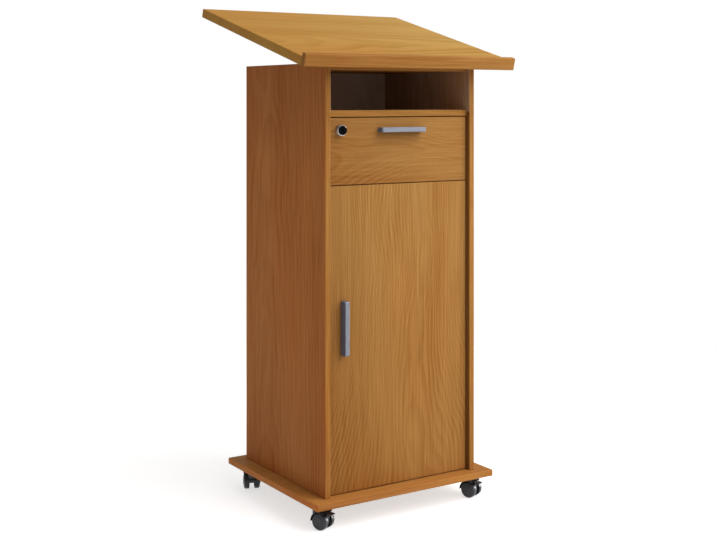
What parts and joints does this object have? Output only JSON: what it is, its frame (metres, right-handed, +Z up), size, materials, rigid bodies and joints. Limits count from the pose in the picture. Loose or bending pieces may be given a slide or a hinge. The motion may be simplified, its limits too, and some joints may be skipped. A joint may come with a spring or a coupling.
{
  "type": "standing desk",
  "caption": "Tall cabinet desk on castors with a tilting reading top, an open compartment, a lockable drawer and a cupboard with a hinged door.",
  "frame": {"origin": "on the floor, under the middle of the whole desk", "axes": "+Z up, +X to the user's right, +Y from the user's side to the rear of the desk"},
  "size_m": [0.6, 0.5286, 1.2193],
  "materials": {
    "beech_panel": "satin beech-toned laminate",
    "beech_front": "satin beech-toned laminate with flowered grain",
    "drawer_wood": "plain lacquered board",
    "satin_handle": "satin grey",
    "lock_chrome": "polished",
    "lock_black": "black",
    "zinc_steel": "zinc plated",
    "castor_plastic": "charcoal, moulded",
    "wheel_tread": "black, moulded"
  },
  "bodies": {
    "cabinet": {"base_board": "beech_panel", "left_side_panel": "beech_panel", "right_side_panel": "beech_panel", "top_panel": "beech_panel", "back_panel": "beech_panel", "fixed_shelf": "beech_panel", "divider_panel": "beech_panel", "adjustable_shelf": "beech_panel", "shelf_pegs": "zinc_steel", "drawer_rails": "drawer_wood", "hinge_plates": "zinc_steel", "hinge_arms": "zinc_steel", "castor_plates": "zinc_steel", "tilt_lower_leaves": "zinc_steel", "tilt_rivets": "zinc_steel"},
    "reading_top": {"reading_board": "beech_panel", "paper_lip": "beech_panel", "tilt_upper_leaves": "zinc_steel"},
    "drawer": {"drawer_front": "beech_front", "drawer_left_side": "drawer_wood", "drawer_right_side": "drawer_wood", "drawer_back": "drawer_wood", "drawer_bottom": "drawer_wood", "drawer_handle": "satin_handle", "lock_housing": "lock_chrome"},
    "drawer_lock": {"lock_plug": "lock_black", "lock_cam": "zinc_steel"},
    "door": {"door_panel": "beech_front", "door_handle": "satin_handle", "hinge_cups": "zinc_steel", "hinge_pins": "zinc_steel"},
    "front_left_castor": {"front_left_castor_hood": "castor_plastic", "front_left_castor_axle": "zinc_steel"},
    "front_left_left_wheel": {"front_left_castor_left_wheel": "wheel_tread"},
    "front_left_right_wheel": {"front_left_castor_right_wheel": "wheel_tread"},
    "front_left_brake": {"front_left_brake_lever": "castor_plastic"},
    "front_right_castor": {"front_right_castor_hood": "castor_plastic", "front_right_castor_axle": "zinc_steel"},
    "front_right_left_wheel": {"front_right_castor_left_wheel": "wheel_tread"},
    "front_right_right_wheel": {"front_right_castor_right_wheel": "wheel_tread"},
    "front_right_brake": {"front_right_brake_lever": "castor_plastic"},
    "rear_left_castor": {"rear_left_castor_hood": "castor_plastic", "rear_left_castor_axle": "zinc_steel"},
    "rear_left_left_wheel": {"rear_left_castor_left_wheel": "wheel_tread"},
    "rear_left_right_wheel": {"rear_left_castor_right_wheel": "wheel_tread"},
    "rear_right_castor": {"rear_right_castor_hood": "castor_plastic", "rear_right_castor_axle": "zinc_steel"},
    "rear_right_left_wheel": {"rear_right_castor_left_wheel": "wheel_tread"},
    "rear_right_right_wheel": {"rear_right_castor_right_wheel": "wheel_tread"}
  },
  "joints": [
    {"name": "top_tilt", "type": "hinge", "parent": "cabinet", "child": "reading_top", "pos_m": [0, -0.11031, 1.0845], "axis": [1, 0, 0], "range_deg": [-15, 0]},
    {"name": "drawer_slide", "type": "slide", "parent": "cabinet", "child": "drawer", "axis": [0, -1, 0], "range_m": [0, 0.25]},
    {"name": "lock_turn", "type": "hinge", "parent": "drawer", "child": "drawer_lock", "pos_m": [-0.168, -0.1959, 0.9155], "axis": [0, -1, 0], "range_deg": [0, 90]},
    {"name": "door_swing", "type": "hinge", "parent": "cabinet", "child": "door", "pos_m": [0.18379, -0.1892, 0.4305], "axis": [0, 0, 1], "range_deg": [0, 100]},
    {"name": "front_left_swivel", "type": "hinge", "parent": "cabinet", "child": "front_left_castor", "pos_m": [-0.2155, -0.1739, 0.05], "axis": [0, 0, 1], "continuous": true},
    {"name": "front_left_left_wheel_spin", "type": "hinge", "parent": "front_left_castor", "child": "front_left_left_wheel", "pos_m": [-0.22188, -0.19439, 0.02], "axis": [0.91, 0.4147, 0], "continuous": true},
    {"name": "front_left_right_wheel_spin", "type": "hinge", "parent": "front_left_castor", "child": "front_left_right_wheel", "pos_m": [-0.19585, -0.18252, 0.02], "axis": [0.91, 0.4147, 0], "continuous": true},
    {"name": "front_left_brake_press", "type": "hinge", "parent": "front_left_castor", "child": "front_left_brake", "pos_m": [-0.20422, -0.19865, 0.0368], "axis": [0.91, 0.4147, 0], "range_deg": [0, 12]},
    {"name": "front_right_swivel", "type": "hinge", "parent": "cabinet", "child": "front_right_castor", "pos_m": [0.2155, -0.1739, 0.05], "axis": [0, 0, 1], "continuous": true},
    {"name": "front_right_left_wheel_spin", "type": "hinge", "parent": "front_right_castor", "child": "front_right_left_wheel", "pos_m": [0.20753, -0.19382, 0.02], "axis": [0.9397, 0.342, 0], "continuous": true},
    {"name": "front_right_right_wheel_spin", "type": "hinge", "parent": "front_right_castor", "child": "front_right_right_wheel", "pos_m": [0.23441, -0.18404, 0.02], "axis": [0.9397, 0.342, 0], "continuous": true},
    {"name": "front_right_brake_press", "type": "hinge", "parent": "front_right_castor", "child": "front_right_brake", "pos_m": [0.2248, -0.19945, 0.0368], "axis": [0.9397, 0.342, 0], "range_deg": [0, 12]},
    {"name": "rear_left_swivel", "type": "hinge", "parent": "cabinet", "child": "rear_left_castor", "pos_m": [-0.2155, 0.1481, 0.05], "axis": [0, 0, 1], "continuous": true},
    {"name": "rear_left_left_wheel_spin", "type": "hinge", "parent": "rear_left_castor", "child": "rear_left_left_wheel", "pos_m": [-0.19625, 0.15758, 0.02], "axis": [-0.9272, 0.3746, 0], "continuous": true},
    {"name": "rear_left_right_wheel_spin", "type": "hinge", "parent": "rear_left_castor", "child": "rear_left_right_wheel", "pos_m": [-0.22276, 0.1683, 0.02], "axis": [-0.9272, 0.3746, 0], "continuous": true},
    {"name": "rear_right_swivel", "type": "hinge", "parent": "cabinet", "child": "rear_right_castor", "pos_m": [0.2155, 0.1481, 0.05], "axis": [0, 0, 1], "continuous": true},
    {"name": "rear_right_left_wheel_spin", "type": "hinge", "parent": "rear_right_castor", "child": "rear_right_left_wheel", "pos_m": [0.21841, 0.16937, 0.02], "axis": [-0.829, -0.5592, 0], "continuous": true},
    {"name": "rear_right_right_wheel_spin", "type": "hinge", "parent": "rear_right_castor", "child": "rear_right_right_wheel", "pos_m": [0.1947, 0.15337, 0.02], "axis": [-0.829, -0.5592, 0], "continuous": true}
  ]
}
